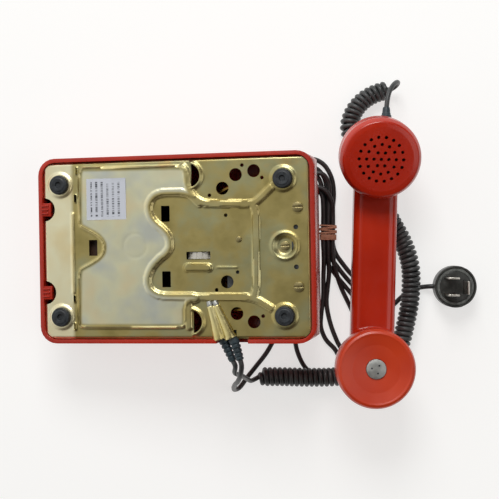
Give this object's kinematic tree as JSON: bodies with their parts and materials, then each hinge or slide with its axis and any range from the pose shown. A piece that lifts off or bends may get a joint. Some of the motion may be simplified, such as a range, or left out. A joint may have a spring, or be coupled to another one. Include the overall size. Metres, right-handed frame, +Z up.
{
  "type": "rotary desk telephone",
  "caption": "Desk telephone lying on its dial with base plate up, handset on its back beside it, curly handset cord, and bundled line cord with a round bladed plug.",
  "frame": {"origin": "on the table under the middle of the box round the telephone and its handset, without the free cords", "axes": "+Z up from the table, +X from the front of the housing towards the handset, +Y from the ear cup towards the mouth cup"},
  "size_m": [0.3431, 0.256, 0.0959],
  "materials": {
    "red_plastic": "glossy",
    "passivated_steel": "pressed sheet, yellow passivated",
    "dark_rubber": "matt",
    "label_paper": "smooth",
    "steel": "bright zinc",
    "coil_wire": "lacquered copper winding",
    "brass": "bright",
    "white_plastic": "satin",
    "clear_plastic": "polished",
    "chrome": "polished",
    "board": "phenolic laminate",
    "orange_plastic": "dipped",
    "iron_core": "laminated",
    "black_plastic": "satin",
    "cord_vinyl": "flexible vinyl",
    "tan_rubber": "thin elastic band",
    "plug_plastic": "satin",
    "blade_metal": "nickel plated"
  },
  "bodies": {
    "telephone": {"housing": "red_plastic", "base_plate": "passivated_steel", "foot_front_left": "dark_rubber", "foot_front_right": "dark_rubber", "foot_rear_left": "dark_rubber", "foot_rear_right": "dark_rubber", "housing_screw": "passivated_steel", "chassis_screws": "passivated_steel", "cable_clamp": "passivated_steel", "clamp_screw": "passivated_steel", "handset_cord_grommet": "dark_rubber", "line_cord_grommet": "dark_rubber", "paper_label": "label_paper", "ringer_frame": "steel", "ringer_coils": "coil_wire", "gongs": "brass", "gong_screws": "steel", "circuit_board": "board", "capacitor": "orange_plastic", "induction_coil": "iron_core", "terminal_block": "board", "hook_bracket": "steel", "hook_contacts": "brass", "number_ring": "white_plastic", "dial_plate": "steel", "dial_screws": "steel", "finger_stop": "chrome", "spring_drum": "steel", "pulse_contacts": "brass", "curly_lead": "cord_vinyl", "curly_coil": "cord_vinyl", "curly_tail": "cord_vinyl", "line_cord": "cord_vinyl", "cord_hank": "cord_vinyl", "cord_loop_front": "cord_vinyl", "cord_loop_rear": "cord_vinyl", "plug_cord": "cord_vinyl", "rubber_band": "tan_rubber", "plug_cover": "plug_plastic", "plug_base": "plug_plastic", "plug_blades": "blade_metal"},
    "handset": {"handset_shell": "red_plastic", "ear_cap": "red_plastic", "mouth_cap": "red_plastic", "receiver": "steel", "transmitter": "steel", "mouth_grommet": "dark_rubber"},
    "dial": {"finger_wheel": "clear_plastic", "dial_card": "label_paper", "dial_shaft": "steel"},
    "governor": {"governor_pinion": "brass"},
    "plunger_left": {"plunger_left": "black_plastic"},
    "plunger_right": {"plunger_right": "black_plastic"},
    "hook_lever": {"hook_lever": "steel"},
    "clapper": {"clapper": "steel"},
    "volume_wheel": {"volume_wheel": "white_plastic"}
  },
  "joints": [
    {"name": "handset_lift", "type": "slide", "parent": "telephone", "child": "handset", "axis": [0, 0, 1], "range_m": [0, 0.15]},
    {"name": "dial_turn", "type": "hinge", "parent": "telephone", "child": "dial", "pos_m": [-0.0637, 0.00434, 0.00806], "axis": [-0.0174, -0.0003, 0.9998], "range_deg": [0, 318], "stiffness_Nm_per_rad": 0.02, "springref_deg": -22.92},
    {"name": "governor_spin", "type": "hinge", "parent": "telephone", "child": "governor", "pos_m": [-0.08794, 0.01261, 0.02064], "axis": [-0.0174, -0.0003, 0.9998], "range_deg": [-1300, 0]},
    {"name": "plunger_left_press", "type": "slide", "parent": "telephone", "child": "plunger_left", "axis": [-0.2079, -0.0036, 0.9781], "range_m": [0, 0.0045], "stiffness_N_per_m": 150},
    {"name": "plunger_right_press", "type": "slide", "parent": "telephone", "child": "plunger_right", "axis": [-0.2079, -0.0036, 0.9781], "range_m": [0, 0.0046], "stiffness_N_per_m": 150},
    {"name": "hook_lever_turn", "type": "hinge", "parent": "telephone", "child": "hook_lever", "pos_m": [0.05918, 0.00649, 0.05352], "axis": [-0.0175, 0.9998, 0], "range_deg": [0, 8.7]},
    {"name": "clapper_swing", "type": "hinge", "parent": "telephone", "child": "clapper", "pos_m": [-0.03217, 0.00489, 0.05864], "axis": [0.2079, 0.0036, -0.9781], "range_deg": [-3, 3], "stiffness_Nm_per_rad": 0.05},
    {"name": "volume_wheel_turn", "type": "hinge", "parent": "telephone", "child": "volume_wheel", "pos_m": [-0.01921, 0.00002, 0.06495], "axis": [0.0175, -0.9998, 0], "range_deg": [0, 270]}
  ],
  "couplings": [
    {"joint": "governor_spin", "follows": "dial_turn", "ratio": -4},
    {"joint": "plunger_right_press", "follows": "plunger_left_press", "ratio": 1},
    {"joint": "hook_lever_turn", "follows": "plunger_left_press", "rad_per_m": 33.333}
  ]
}
